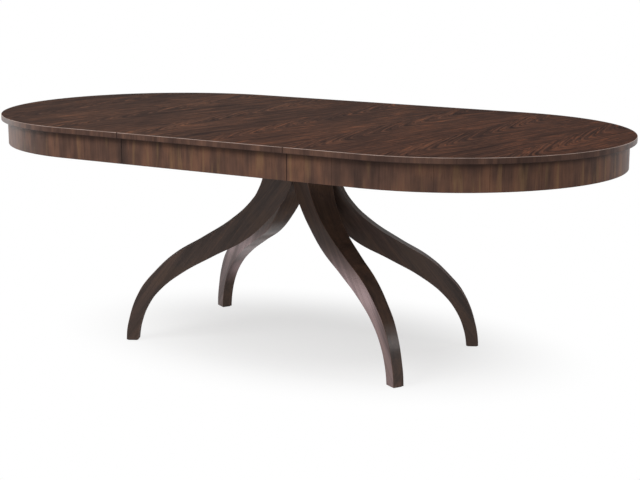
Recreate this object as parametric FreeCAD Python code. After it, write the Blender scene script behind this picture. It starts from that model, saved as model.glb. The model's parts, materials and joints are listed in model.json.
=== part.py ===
import FreeCAD, Part
import math
import os

# Extending dining table: an oblong top with round ends, split in two halves that run
# apart on hardwood slides and take one loose leaf, over a pedestal of four swept legs.
# The origin is on the floor under the middle of the table. X runs along the table,
# Z is up, and the front is towards -Y. All lengths are in millimetres.

Vector = FreeCAD.Vector
Z_AXIS = Vector(0, 0, 1)

# Shared values
overrun = 5.0                    # how far every cutting tool runs past its work
fit_clearance = 0.1              # around a screw, bolt or pin that is fixed in its hole
running_clearance = 0.2          # around a shaft that turns in its hole
pin_sides = 8                    # pins and their holes are cut as regular prisms
screw_sides = 6                  # so are screws, bolts and their holes, with fewer sides
arc_steps = 4                    # short flats along each curved side of a hook

# Top and aprons
table_length = 2240.0
table_width = 1156.0
table_height = 762.0
top_thickness = 18.0
top_arris = 1.5                  # the small bevel along the upper edge of the top
leaf_length = 610.0
seam_gap = 0.5
apron_overhang = 22.0            # from the edge of the top in to the apron's face
apron_thickness = 20.0
apron_height = 83.0
block_size = 26.0                # glue blocks in the corner of apron and top
block_length = 70.0
end_block_angles = (-75.0, -45.0, -15.0, 15.0, 45.0, 75.0)
leaf_block_shares = (-0.36, 0.0, 0.36)
batten_width = 60.0
batten_thickness = 25.0
batten_length = 500.0

# Pedestal legs, each cut from a thick board to a side outline and a front outline.
# The outlines run from the foot, share 0, to the leg's top, share 1.
leg_angle = 27.8                 # between a leg and the table's long axis, in degrees
leg_reach = 599.0                # from the middle to the outer edge of the foot
leg_foot_thickness = 38.0
leg_top_thickness = 104.0
leg_outer_shares = (
    (1.000, 0.000), (0.989, 0.085), (0.915, 0.263), (0.834, 0.353), (0.724, 0.442),
    (0.556, 0.531), (0.399, 0.621), (0.188, 1.000),
)
leg_inner_shares = (
    (0.933, 0.000), (0.800, 0.263), (0.495, 0.442), (0.309, 0.531), (0.194, 0.621),
    (0.110, 0.710), (0.060, 0.790),
)
leg_flare_shares = (
    (0.00, 0.000), (0.03, 0.174), (0.14, 0.353), (0.33, 0.531), (0.62, 0.710),
    (0.89, 0.888), (1.00, 1.000),
)
core_reach = 27.0                # from the middle to the flats that the legs stand against
core_height = 110.0
glide_thickness = 3.0
glide_inset = 4.0

# Bearer board on top of the legs
bearer_length = 520.0
bearer_width = 480.0
bearer_thickness = 22.0
bearer_corner = 20.0
leg_bolt_radius = 5.0
leg_bolt_head_radius = 9.0
leg_bolt_head_height = 6.5
leg_bolt_depth = 60.0            # how deep a bolt goes into its leg
leg_bolt_reach = 70.0
leg_bolt_spacing = 44.0
washer_size = 23.0
washer_thickness = 2.0

# Fixed rails, one in front and one behind, bolted along the bearer
rail_length = 900.0
rail_width = 36.0
rail_height = 44.0
rail_offset = 170.0              # from the middle of the table to the rail's middle
rail_screw_radius = 3.0
rail_screw_head_radius = 6.0
rail_screw_head_height = 4.0
rail_screw_depth = 20.0
rail_screw_near = 100.0
rail_screw_far = 220.0

# Runners, one on each side of each fixed rail, and the dovetail that holds them
runner_width = 38.0
runner_outer_end = 760.0
runner_inner_end = 150.0
runner_foot_gap = 1.0            # between the runner and the bearer below it
slide_gap = 0.4                  # between a runner's side and the rail's side
dovetail_mouth = 10.0
dovetail_root = 14.0
dovetail_depth = 8.0
dovetail_rise = 12.0             # from the rail's bottom to the dovetail's middle
dovetail_gap = 0.4
runner_screw_radius = 2.0
runner_screw_head_radius = 4.5
runner_screw_head_height = 3.0
runner_screw_depth = 10.0        # how deep a screw goes into the top
runner_screw_count = 3
runner_screw_margin = 22.0
counterbore_radius = 5.2
counterbore_depth = 22.0

# Stops: a pin in the bearer runs in a slot under each runner
pull_apart = 40.0                # how far each half moves out to free the leaf
stop_pin_radius = 4.0
stop_pin_height = 6.0
stop_pin_depth = 15.0
stop_pin_place = 100.0
stop_slot_depth = 6.0
stop_gap = 0.3

# Geared equaliser: a pinion on each fixed rail between two racks
tooth_module = 5.0
pinion_teeth = 12
pressure_angle = math.radians(25.0)
tooth_backlash = 0.4
dedendum_share = 1.25
flank_steps = 2
pinion_thickness = 11.0
pinion_play = 0.3
pinion_margin = 1.5
rack_thickness = 12.0
rack_web = 4.0
rack_top_drop = 8.0              # from the top of the runner down to the rack
axle_radius = 5.0
axle_head_radius = 9.0
axle_head_height = 3.5
axle_depth = 20.0
axle_sides = 12                  # flats of the hole that the round axle is driven into

# Alignment pins in the seams
pin_radius = 4.0
pin_reach = 12.0
pin_embed = 18.0
pin_gap = 0.4
pin_spacing = 400.0
pin_stagger = 30.0

# Leaf locks: a hook on one side of a seam swings round a post on the other side
lock_offset = 300.0              # from the middle of the table to the hook's pivot
lock_pivot_inset = 35.0
lock_post_inset = 25.0
lock_plate_thickness = 2.0
lock_plate_width = 36.0
lock_plate_margin = 8.0
lock_plate_length = 54.0
lock_hook_thickness = 3.0
lock_hook_drop = 2.6             # from the underside of the top to the hook
lock_arm_width = 16.0
lock_head_width = 24.0
lock_head_lead = 14.0            # in degrees, from the post to the hook's open side
lock_head_back = 11.0            # in degrees, behind the post
lock_slot_gap = 0.7
lock_post_radius = 3.5
lock_post_length = 8.0
lock_stud_radius = 3.0
lock_stud_head_radius = 6.0
lock_stud_head_height = 2.0
lock_stud_play = 0.4
lock_tab_length = 14.0
lock_tab_thickness = 3.0
keeper_plate_length = 34.0
keeper_plate_width = 30.0

# Levels and places that follow
top_under = table_height - top_thickness
apron_bottom = top_under - apron_height
end_radius = table_width / 2
end_centre = table_length / 2 - end_radius
half_seam = (leaf_length + seam_gap) / 2
leaf_seam = (leaf_length - seam_gap) / 2
apron_outer = end_radius - apron_overhang
apron_inner = apron_outer - apron_thickness
pitch_radius = tooth_module * pinion_teeth / 2
tip_radius = pitch_radius + tooth_module
root_radius = pitch_radius - tooth_module * dedendum_share
tooth_pitch = math.pi * tooth_module
axle_hole_radius = (axle_radius + fit_clearance) / math.cos(math.pi / axle_sides)
rack_top = top_under - rack_top_drop
rack_bottom = rack_top - rack_thickness
pinion_bottom = rack_bottom + (rack_thickness - pinion_thickness) / 2
pinion_top = pinion_bottom + pinion_thickness
rail_top = pinion_top + pinion_play + axle_head_height
rail_bottom = rail_top - rail_height
runner_bottom = rail_bottom + runner_foot_gap
bearer_top = rail_bottom
leg_top = bearer_top - bearer_thickness
leg_foot = glide_thickness
runner_face = rail_width / 2 + slide_gap
dovetail_middle = rail_bottom + dovetail_rise
closing_travel = leaf_length / 2
rack_far = math.ceil((closing_travel + tip_radius) / tooth_pitch) * tooth_pitch
rack_near = math.ceil((pull_apart + tip_radius) / tooth_pitch) * tooth_pitch
pin_level = top_under + top_thickness / 2
lock_hook_top = top_under - lock_hook_drop
lock_hook_bottom = lock_hook_top - lock_hook_thickness
lock_radius = lock_pivot_inset + lock_post_inset

LEFT = -1
RIGHT = 1
FRONT = -1
BACK = 1


def box(x0, x1, y0, y1, z0, z1):
    """A box between two limits along each axis, given in either order."""
    low = Vector(min(x0, x1), min(y0, y1), min(z0, z1))
    return Part.makeBox(abs(x1 - x0), abs(y1 - y0), abs(z1 - z0), low)


def prism(points, z0, z1):
    """An upright prism over a polygon of (x, y) points."""
    corners = [Vector(x, y, z0) for x, y in points]
    outline = Part.makePolygon(corners + corners[:1])
    return Part.Face(outline).extrude(Vector(0, 0, z1 - z0))


def turned(x, y, z0, z1, radius):
    """An upright cylinder between two levels."""
    return Part.makeCylinder(radius, z1 - z0, Vector(x, y, z0), Z_AXIS)


def circle_points(radius, sides):
    step = 2 * math.pi / sides
    return [(radius * math.cos(step * k), radius * math.sin(step * k)) for k in range(sides)]


def post(x, y, z0, z1, radius, sides=pin_sides):
    """An upright regular prism between two levels, with its corners on a circle."""
    return prism([(x + px, y + py) for px, py in circle_points(radius, sides)], z0, z1)


def screw_post(x, y, z0, z1, radius):
    return post(x, y, z0, z1, radius, screw_sides)


def bar(x0, x1, y, z, radius):
    """A regular prism that lies along X."""
    corners = [Vector(x0, y + py, z + pz) for py, pz in circle_points(radius, pin_sides)]
    outline = Part.makePolygon(corners + corners[:1])
    return Part.Face(outline).extrude(Vector(x1 - x0, 0, 0))


def mirror_y(shape):
    return shape.mirror(Vector(0, 0, 0), Vector(0, 1, 0))


def group(shapes):
    return Part.makeCompound(shapes)


def save(name, shape):
    os.makedirs("parts", exist_ok=True)
    shape.exportStep("parts/" + name + ".step")
    print(name, "solids", len(shape.Solids), "valid", shape.isValid())


# Pedestal

def spline(points):
    curve = Part.BSplineCurve()
    curve.interpolate(points)
    return curve.toShape()


def leg_level(share):
    return leg_foot + share * (leg_top - leg_foot)


def leg_side_board():
    """The leg's side outline, as thick as a board: the swept curve seen from the side."""
    half = leg_top_thickness / 2 + overrun
    outer = [Vector(leg_reach * r, -half, leg_level(h)) for r, h in leg_outer_shares]
    inner = [Vector(leg_reach * r, -half, leg_level(h)) for r, h in leg_inner_shares]
    inner.append(Vector(core_reach, -half, leg_top - core_height))
    top_inner = Vector(core_reach, -half, leg_top)
    edges = [
        spline(outer),
        Part.makeLine(outer[-1], top_inner),
        Part.makeLine(top_inner, inner[-1]),
        spline(inner),
        Part.makeLine(inner[0], outer[0]),
    ]
    face = Part.Face(Part.Wire(Part.__sortEdges__(edges)))
    return face.extrude(Vector(0, 2 * half, 0))


def leg_front_board():
    """The leg's front outline: slim at the foot and flaring towards the top."""
    flare = leg_top_thickness - leg_foot_thickness
    halves = [(leg_foot_thickness + flare * f) / 2 for f, h in leg_flare_shares]
    levels = [leg_level(h) for f, h in leg_flare_shares]
    right = [Vector(0, t, z) for t, z in zip(halves, levels)]
    left = [Vector(0, -t, z) for t, z in zip(halves, levels)]
    edges = [
        spline(right),
        Part.makeLine(right[-1], left[-1]),
        spline(left),
        Part.makeLine(left[0], right[0]),
    ]
    face = Part.Face(Part.Wire(Part.__sortEdges__(edges)))
    return face.extrude(Vector(leg_reach + overrun, 0, 0))


def leg_direction(end, side):
    """The angle of a leg about the table's middle, from its end and its side."""
    corner = leg_angle if end == RIGHT else 180 - leg_angle
    return corner * side


def leg_bolt_places(end, side):
    """Places of one leg's two bolts, side by side across the leg."""
    angle = math.radians(leg_direction(end, side))
    places = []
    for across in (-leg_bolt_spacing / 2, leg_bolt_spacing / 2):
        x = leg_bolt_reach * math.cos(angle) - across * math.sin(angle)
        y = leg_bolt_reach * math.sin(angle) + across * math.cos(angle)
        places.append((x, y))
    return places


def all_leg_bolt_places():
    corners = [(end, side) for end in (LEFT, RIGHT) for side in (FRONT, BACK)]
    return [place for end, side in corners for place in leg_bolt_places(end, side)]


def leg(end, side):
    """One swept leg, mitred along the middle planes against its two neighbours."""
    shape = leg_side_board().common(leg_front_board())
    shape.rotate(Vector(0, 0, 0), Z_AXIS, leg_direction(end, side))
    bolt_end = leg_top - leg_bolt_depth
    for x, y in leg_bolt_places(end, side):
        shape = shape.cut(screw_post(x, y, bolt_end, leg_top + overrun, leg_bolt_radius + fit_clearance))
    far = leg_reach + overrun
    return shape.common(box(0, end * far, 0, side * far, 0, leg_top + overrun))


def core():
    """The four-sided post in the middle, which the legs are glued against."""
    angle = math.radians(leg_angle)
    long_half = core_reach / math.sin(angle)
    short_half = core_reach / math.cos(angle)
    corners = [(short_half, 0), (0, long_half), (-short_half, 0), (0, -long_half)]
    return prism(corners, leg_top - core_height, leg_top)


def glide(end, side):
    """The thin pad under one foot."""
    near = leg_reach * leg_inner_shares[0][0] + glide_inset
    half = leg_foot_thickness / 2 - glide_inset
    pad = box(near, leg_reach - glide_inset, -half, half, 0, glide_thickness)
    pad.rotate(Vector(0, 0, 0), Z_AXIS, leg_direction(end, side))
    return pad


def rail_screw_places():
    along = (-rail_screw_far, -rail_screw_near, rail_screw_near, rail_screw_far)
    return [(x, side * rail_offset) for side in (FRONT, BACK) for x in along]


def runner_offset(end):
    """From the fixed rail's middle to a runner's middle: left runners lie outside."""
    return -end * (runner_face + runner_width / 2)


def stop_pin_places():
    """The left half's pins stand to the right of the middle, and the other way round."""
    places = []
    for end in (LEFT, RIGHT):
        for side in (FRONT, BACK):
            places.append((-end * stop_pin_place, side * (rail_offset + runner_offset(end))))
    return places


def bearer():
    """The board on the legs that carries the fixed rails."""
    long_half = bearer_length / 2
    wide_half = bearer_width / 2
    board = box(-long_half, long_half, -wide_half, wide_half, leg_top, bearer_top)
    uprights = [edge for edge in board.Edges if abs(edge.tangentAt(edge.FirstParameter).z) > 0.9]
    board = board.makeChamfer(bearer_corner, uprights)
    under = leg_top - overrun
    above = bearer_top + overrun
    for x, y in all_leg_bolt_places():
        board = board.cut(screw_post(x, y, under, above, leg_bolt_radius + fit_clearance))
    for x, y in rail_screw_places():
        board = board.cut(screw_post(x, y, under, above, rail_screw_radius + fit_clearance))
    for x, y in stop_pin_places():
        board = board.cut(post(x, y, bearer_top - stop_pin_depth, above, stop_pin_radius + fit_clearance))
    return board


def leg_bolt(x, y):
    head_bottom = bearer_top + washer_thickness
    shank = screw_post(x, y, leg_top - leg_bolt_depth, head_bottom, leg_bolt_radius)
    head_top = head_bottom + leg_bolt_head_height
    return shank.fuse(screw_post(x, y, head_bottom, head_top, leg_bolt_head_radius))


def washer(x, y):
    """A square washer, as used on timber."""
    half = washer_size / 2
    plate = box(x - half, x + half, y - half, y + half, bearer_top, bearer_top + washer_thickness)
    above = bearer_top + overrun
    return plate.cut(screw_post(x, y, bearer_top - overrun, above, leg_bolt_radius + fit_clearance))


def rail_screw(x, y):
    head = screw_post(x, y, leg_top - rail_screw_head_height, leg_top, rail_screw_head_radius)
    return head.fuse(screw_post(x, y, leg_top, rail_bottom + rail_screw_depth, rail_screw_radius))


def stop_pin(x, y):
    return post(x, y, bearer_top - stop_pin_depth, bearer_top + stop_pin_height, stop_pin_radius)


# Slides

def dovetail(y_face, direction, mouth, root, depth, x0, x1, neck):
    """A dovetail bar along X. It starts on a side face, widens with depth and reaches
    out of that face by the length of its neck."""
    slope = (root - mouth) / 2 / depth
    out_half = mouth / 2 - slope * neck
    points = [
        Vector(x0, y_face - direction * neck, dovetail_middle - out_half),
        Vector(x0, y_face - direction * neck, dovetail_middle + out_half),
        Vector(x0, y_face + direction * depth, dovetail_middle + root / 2),
        Vector(x0, y_face + direction * depth, dovetail_middle - root / 2),
    ]
    outline = Part.makePolygon(points + points[:1])
    return Part.Face(outline).extrude(Vector(x1 - x0, 0, 0))


def fixed_rail(side):
    """A fixed rail with a dovetail groove along each side and a notch for the pinion."""
    half = rail_width / 2
    middle = side * rail_offset
    end = rail_length / 2
    shape = box(-end, end, middle - half, middle + half, rail_bottom, rail_top)
    for face in (-1, 1):
        groove = dovetail(middle + face * half, -face, dovetail_mouth, dovetail_root, dovetail_depth,
                          -end - overrun, end + overrun, overrun)
        shape = shape.cut(groove)
    reach = tip_radius + pinion_margin
    shape = shape.cut(box(-reach, reach, middle - rail_width, middle + rail_width,
                          pinion_bottom - pinion_play, rail_top + overrun))
    shape = shape.cut(post(0, middle, pinion_bottom - axle_depth, rail_top, axle_hole_radius, axle_sides))
    screw_end = rail_bottom + rail_screw_depth
    for x, y in rail_screw_places():
        shape = shape.cut(screw_post(x, y, rail_bottom - overrun, screw_end,
                                     rail_screw_radius + fit_clearance))
    return shape


def axle(side):
    """The shoulder bolt that a pinion turns on."""
    middle = side * rail_offset
    head_bottom = pinion_top + pinion_play
    head_top = head_bottom + axle_head_height
    shank = turned(0, middle, pinion_bottom - axle_depth, head_bottom, axle_radius)
    return shank.fuse(screw_post(0, middle, head_bottom, head_top, axle_head_radius))


def runner_screw_xs(end):
    """Screws spread over the runner's length under its own half of the top."""
    first = rack_far + runner_screw_margin
    last = runner_outer_end - runner_screw_margin
    step = (last - first) / (runner_screw_count - 1)
    return [end * (first + step * k) for k in range(runner_screw_count)]


def runner_screw_places(end):
    across = rail_offset + runner_offset(end)
    return [(x, side * across) for side in (FRONT, BACK) for x in runner_screw_xs(end)]


def runner(end, side):
    """A sliding runner: dovetail tongue, rack groove, stop slot and screw holes."""
    middle = side * (rail_offset + runner_offset(end))
    outward = side * -end
    face = side * rail_offset + outward * runner_face
    x_out = end * runner_outer_end
    x_in = -end * runner_inner_end
    half = runner_width / 2
    shape = box(x_out, x_in, middle - half, middle + half, runner_bottom, top_under)
    rail_side = side * rail_offset + outward * rail_width / 2
    tongue_mouth = dovetail_mouth - 2 * dovetail_gap
    tongue_root = dovetail_root - 2 * dovetail_gap
    tongue_depth = dovetail_depth - dovetail_gap
    shape = shape.fuse(dovetail(rail_side, -outward, tongue_mouth, tongue_root, tongue_depth,
                                x_out, x_in, slide_gap))
    groove_floor = side * rail_offset + outward * rack_back()
    shape = shape.cut(box(end * rack_far, -end * rack_near, face - outward * overrun, groove_floor,
                          rack_bottom, rack_top))
    below = runner_bottom - overrun
    near = stop_pin_radius + stop_gap
    slot_in = -end * (stop_pin_place + pull_apart)
    slot_out = -end * (stop_pin_place - closing_travel)
    slot_top = runner_bottom + stop_slot_depth
    slot = box(slot_in, slot_out, middle - near, middle + near, below, slot_top)
    for x in (slot_in, slot_out):
        slot = slot.fuse(post(x, middle, below, slot_top, near))
    shape = shape.cut(slot)
    for x in runner_screw_xs(end):
        hole = screw_post(x, middle, below, top_under + overrun, runner_screw_radius + fit_clearance)
        counterbore = screw_post(x, middle, below, runner_bottom + counterbore_depth, counterbore_radius)
        shape = shape.cut(hole.fuse(counterbore))
    return shape


def runner_screw(x, y):
    head_top = runner_bottom + counterbore_depth
    head_bottom = head_top - runner_screw_head_height
    shank = screw_post(x, y, head_top, top_under + runner_screw_depth, runner_screw_radius)
    return shank.fuse(screw_post(x, y, head_bottom, head_top, runner_screw_head_radius))


def rack_root():
    return pitch_radius + tooth_module * dedendum_share


def rack_back():
    return rack_root() + rack_web


def rack(end, side):
    """A straight rack let into a runner, with its gaps in step with the pinion's teeth."""
    def half_thickness(v):
        return (tooth_pitch / 2 - tooth_backlash) / 2 + (v - pitch_radius) * math.tan(pressure_angle)

    root = rack_root()
    count = round((rack_far + rack_near) / tooth_pitch)
    points = [(-rack_far, rack_back()), (-rack_far, root)]
    for k in range(count):
        middle = -rack_far + (k + 0.5) * tooth_pitch
        tip = half_thickness(pitch_radius - tooth_module)
        foot = half_thickness(root)
        points.append((middle - foot, root))
        points.append((middle - tip, pitch_radius - tooth_module))
        points.append((middle + tip, pitch_radius - tooth_module))
        points.append((middle + foot, root))
    points.append((rack_near, root))
    points.append((rack_near, rack_back()))
    outward = side * -end
    placed = [(-end * x, side * rail_offset + outward * v) for x, v in points]
    return prism(placed, rack_bottom, rack_top)


def involute(angle):
    return math.tan(angle) - angle


def pinion(side):
    """A spur gear with involute flanks and a bore for its axle."""
    base_radius = pitch_radius * math.cos(pressure_angle)
    pitch_half = (tooth_pitch / 2 - tooth_backlash) / 2 / pitch_radius
    flank = []
    for k in range(flank_steps + 1):
        radius = base_radius + (tip_radius - base_radius) * k / flank_steps
        turn = math.acos(base_radius / radius)
        flank.append((radius, pitch_half + involute(pressure_angle) - involute(turn)))
    flank = [(root_radius, flank[0][1])] + flank
    points = []
    for tooth in range(pinion_teeth):
        middle = 2 * math.pi * tooth / pinion_teeth
        outline = [(r, middle - a) for r, a in flank] + [(r, middle + a) for r, a in reversed(flank)]
        points += [(r * math.cos(a), r * math.sin(a)) for r, a in outline]
    y = side * rail_offset
    shape = prism([(px, py + y) for px, py in points], pinion_bottom, pinion_top)
    bore_radius = axle_radius + running_clearance
    return shape.cut(turned(0, y, pinion_bottom - overrun, pinion_top + overrun, bore_radius))


# Top, leaf and aprons

def round_end(end, radius, x_seam, z0, z1):
    """One half of the oblong plan, from a seam to the round end, as a solid."""
    front_seam = Vector(end * x_seam, -radius, z0)
    front_turn = Vector(end * end_centre, -radius, z0)
    tip = Vector(end * (end_centre + radius), 0, z0)
    back_turn = Vector(end * end_centre, radius, z0)
    back_seam = Vector(end * x_seam, radius, z0)
    edges = [
        Part.makeLine(front_seam, front_turn),
        Part.Arc(front_turn, tip, back_turn).toShape(),
        Part.makeLine(back_turn, back_seam),
        Part.makeLine(back_seam, front_seam),
    ]
    return Part.Face(Part.Wire(edges)).extrude(Vector(0, 0, z1 - z0))


def seam_pin_ys(end):
    """Pins of one half. The halves' pins are staggered, so each meets a slot."""
    return [-end * pin_stagger + pin_spacing * k for k in (-1, 0, 1)]


def seam_slot(x_seam, inward, y):
    """A slot for a pin in the edge of a panel, open underneath so that the leaf lifts."""
    reach = pin_reach + pin_gap
    radius = pin_radius + pin_gap
    start = x_seam - inward * overrun
    stop = x_seam + inward * reach
    mouth = box(start, stop, y - radius, y + radius, top_under - overrun, pin_level)
    return mouth.fuse(bar(start, stop, y, pin_level, radius))


def outer_edges(shape, x_seam):
    """The upper edges round the outside, without those of a seam."""
    chosen = []
    for edge in shape.Edges:
        first, last = edge.Vertexes[0].Point, edge.Vertexes[-1].Point
        upper = min(first.z, last.z) > table_height - fit_clearance
        on_seam = abs(abs(first.x) - x_seam) < fit_clearance and abs(first.x - last.x) < fit_clearance
        if upper and not on_seam:
            chosen.append(edge)
    return chosen


def half_top(end):
    """One half of the top, with pin holes and slots in its seam edge and screw holes."""
    shape = round_end(end, end_radius, half_seam, top_under, table_height)
    shape = shape.makeChamfer(top_arris, outer_edges(shape, half_seam))
    for y in seam_pin_ys(end):
        shape = shape.cut(bar(end * (half_seam - overrun), end * (half_seam + pin_embed), y, pin_level,
                              pin_radius + fit_clearance))
    for y in seam_pin_ys(-end):
        shape = shape.cut(seam_slot(end * half_seam, end, y))
    for x, y in runner_screw_places(end):
        shape = shape.cut(screw_post(x, y, top_under - overrun, top_under + runner_screw_depth,
                                     runner_screw_radius + fit_clearance))
    return shape


def leaf_top():
    """The loose leaf's panel, with slots for the pins of both halves."""
    shape = box(-leaf_seam, leaf_seam, -end_radius, end_radius, top_under, table_height)
    shape = shape.makeChamfer(top_arris, outer_edges(shape, leaf_seam))
    for end in (LEFT, RIGHT):
        for y in seam_pin_ys(end):
            shape = shape.cut(seam_slot(end * leaf_seam, -end, y))
    return shape


def half_apron(end):
    """The bent apron of one half: two straights and a half circle in one piece."""
    outer = round_end(end, apron_outer, half_seam, apron_bottom, top_under)
    inner = round_end(end, apron_inner, half_seam - overrun, apron_bottom - overrun, top_under + overrun)
    return outer.cut(inner)


def leaf_apron(side):
    return box(-leaf_seam, leaf_seam, side * apron_inner, side * apron_outer, apron_bottom, top_under)


def wedge(length):
    """A three-cornered glue block along Y, with its corner above the origin."""
    points = [
        Vector(0, -length / 2, top_under),
        Vector(-block_size, -length / 2, top_under),
        Vector(0, -length / 2, top_under - block_size),
    ]
    outline = Part.makePolygon(points + points[:1])
    return Part.Face(outline).extrude(Vector(0, length, 0))


def end_blocks(end):
    """Glue blocks round the bent apron, each cut to the curve that it stands against."""
    blocks = []
    limit = turned(end * end_centre, 0, apron_bottom, top_under, apron_inner)
    for angle in end_block_angles:
        block = wedge(block_length)
        block.translate(Vector(apron_inner, 0, 0))
        block.rotate(Vector(0, 0, 0), Z_AXIS, angle if end == RIGHT else 180 - angle)
        block.translate(Vector(end * end_centre, 0, 0))
        blocks.append(block.common(limit))
    for side in (FRONT, BACK):
        block = wedge(block_length)
        block.rotate(Vector(0, 0, 0), Z_AXIS, 90 * side)
        block.translate(Vector(end * (half_seam + block_length), side * apron_inner, 0))
        blocks.append(block)
    return blocks


def leaf_blocks():
    blocks = []
    for side in (FRONT, BACK):
        for share in leaf_block_shares:
            block = wedge(block_length)
            block.rotate(Vector(0, 0, 0), Z_AXIS, 90 * side)
            block.translate(Vector(share * leaf_length, side * apron_inner, 0))
            blocks.append(block)
    return blocks


def batten(end):
    """The board across the underside of one half, beyond the runners' ends."""
    start = end * (runner_outer_end + runner_screw_margin)
    return box(start, start + end * batten_width, -batten_length / 2, batten_length / 2,
               top_under - batten_thickness, top_under)


def seam_pins(end):
    far = end * (half_seam + pin_embed)
    near = end * (half_seam - pin_reach)
    return [bar(far, near, y, pin_level, pin_radius) for y in seam_pin_ys(end)]


# Leaf locks

def arc_band(inner, outer, first, last, z0, z1):
    """A piece of a ring about the origin between two angles, in degrees from X."""
    angles = [math.radians(first + (last - first) * k / arc_steps) for k in range(arc_steps + 1)]
    points = [(outer * math.cos(a), outer * math.sin(a)) for a in angles]
    points += [(inner * math.cos(a), inner * math.sin(a)) for a in reversed(angles)]
    return prism(points, z0, z1)


def hook_shape():
    """The hook in its own frame, pivot at the origin and arm along X. The slot is cut
    about the pivot and opens towards negative angles, where it meets the post."""
    inner = lock_radius - lock_head_width / 2
    outer = lock_radius + lock_head_width / 2
    half = lock_arm_width / 2
    arm = box(0, lock_radius - lock_head_width / 4, -half, half, lock_hook_bottom, lock_hook_top)
    shape = arm.fuse(post(0, 0, lock_hook_bottom, lock_hook_top, half))
    head = arc_band(inner, outer, -lock_head_lead, lock_head_back, lock_hook_bottom, lock_hook_top)
    shape = shape.fuse(head)
    slot_half = lock_post_radius + lock_slot_gap
    back = math.degrees(slot_half / lock_radius)
    slot = arc_band(lock_radius - slot_half, lock_radius + slot_half, -2 * lock_head_lead, back,
                    lock_hook_bottom - overrun, lock_hook_top + overrun)
    shape = shape.cut(slot)
    shape = shape.cut(turned(0, 0, lock_hook_bottom - overrun, lock_hook_top + overrun,
                             lock_stud_radius + running_clearance))
    tab = box(outer - lock_tab_thickness, outer, 0, lock_arm_width / 2,
              lock_hook_bottom - lock_tab_length, lock_hook_top)
    return shape.fuse(tab)


def lock_hook(x_seam, side):
    """A hook swung open, along the seam and out from the table's middle."""
    shape = hook_shape()
    shape.rotate(Vector(0, 0, 0), Z_AXIS, 90)
    shape.translate(Vector(x_seam - lock_pivot_inset, lock_offset, 0))
    return shape if side == BACK else mirror_y(shape)


def lock_base(x_seam, side):
    """The plate under the top with the stud that the hook turns on."""
    x_pivot = x_seam - lock_pivot_inset
    y = side * lock_offset
    x_near = x_seam - lock_plate_margin
    half = lock_plate_width / 2
    plate = box(x_near, x_near - lock_plate_length, y - half, y + half,
                top_under - lock_plate_thickness, top_under)
    head_top = lock_hook_bottom - lock_stud_play
    stud = post(x_pivot, y, head_top, top_under - lock_plate_thickness, lock_stud_radius)
    head = screw_post(x_pivot, y, head_top - lock_stud_head_height, head_top, lock_stud_head_radius)
    return plate.fuse(stud).fuse(head)


def keeper_plate(x_seam, side):
    """The plate that carries the post for a hook."""
    x_post = x_seam + lock_post_inset
    y = side * lock_offset
    half = keeper_plate_width / 2
    reach = keeper_plate_length / 2
    return box(x_post - reach, x_post + reach, y - half, y + half,
               top_under - lock_plate_thickness, top_under)


def keeper_post(x_seam, side):
    """The post that a closed hook holds."""
    return post(x_seam + lock_post_inset, side * lock_offset, top_under - lock_post_length,
                top_under - lock_plate_thickness, lock_post_radius)


def build():
    ends = ((LEFT, "left"), (RIGHT, "right"))
    sides = ((FRONT, "front"), (BACK, "back"))
    for end, end_name in ends:
        for side, side_name in sides:
            save("leg_" + side_name + "_" + end_name, leg(end, side))
            save("runner_" + end_name + "_" + side_name, runner(end, side))
    save("leg_core", core())
    save("foot_glides", group([glide(end, side) for end, _ in ends for side, _ in sides]))
    save("bearer", bearer())
    save("leg_bolts", group([leg_bolt(x, y) for x, y in all_leg_bolt_places()]))
    save("leg_washers", group([washer(x, y) for x, y in all_leg_bolt_places()]))
    save("rail_screws", group([rail_screw(x, y) for x, y in rail_screw_places()]))
    save("stop_pins", group([stop_pin(x, y) for x, y in stop_pin_places()]))
    save("pinion_axles", group([axle(side) for side, _ in sides]))
    for side, side_name in sides:
        save("fixed_rail_" + side_name, fixed_rail(side))
        save("pinion_" + side_name, pinion(side))
        save("leaf_apron_" + side_name, leaf_apron(side))
        save("half_hook_" + side_name, lock_hook(-closing_travel, side))
        save("leaf_hook_" + side_name, lock_hook(closing_travel, side))
    for end, end_name in ends:
        save("top_" + end_name, half_top(end))
        save("apron_" + end_name, half_apron(end))
        save("apron_blocks_" + end_name, group(end_blocks(end)))
        save("batten_" + end_name, batten(end))
        save("racks_" + end_name, group([rack(end, side) for side, _ in sides]))
        save("runner_screws_" + end_name, group([runner_screw(x, y) for x, y in runner_screw_places(end)]))
        save("seam_pins_" + end_name, group(seam_pins(end)))
    save("top_leaf", leaf_top())
    save("leaf_blocks", group(leaf_blocks()))
    save("lock_bases_left", group([lock_base(-closing_travel, side) for side, _ in sides]))
    save("lock_bases_leaf", group([lock_base(closing_travel, side) for side, _ in sides]))
    for name, x_seam in (("leaf", -closing_travel), ("right", closing_travel)):
        save("keeper_plates_" + name, group([keeper_plate(x_seam, side) for side, _ in sides]))
        save("keeper_posts_" + name, group([keeper_post(x_seam, side) for side, _ in sides]))


build()
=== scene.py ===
import bmesh
import bpy
import json
import math
from mathutils import Matrix, Vector


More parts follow.
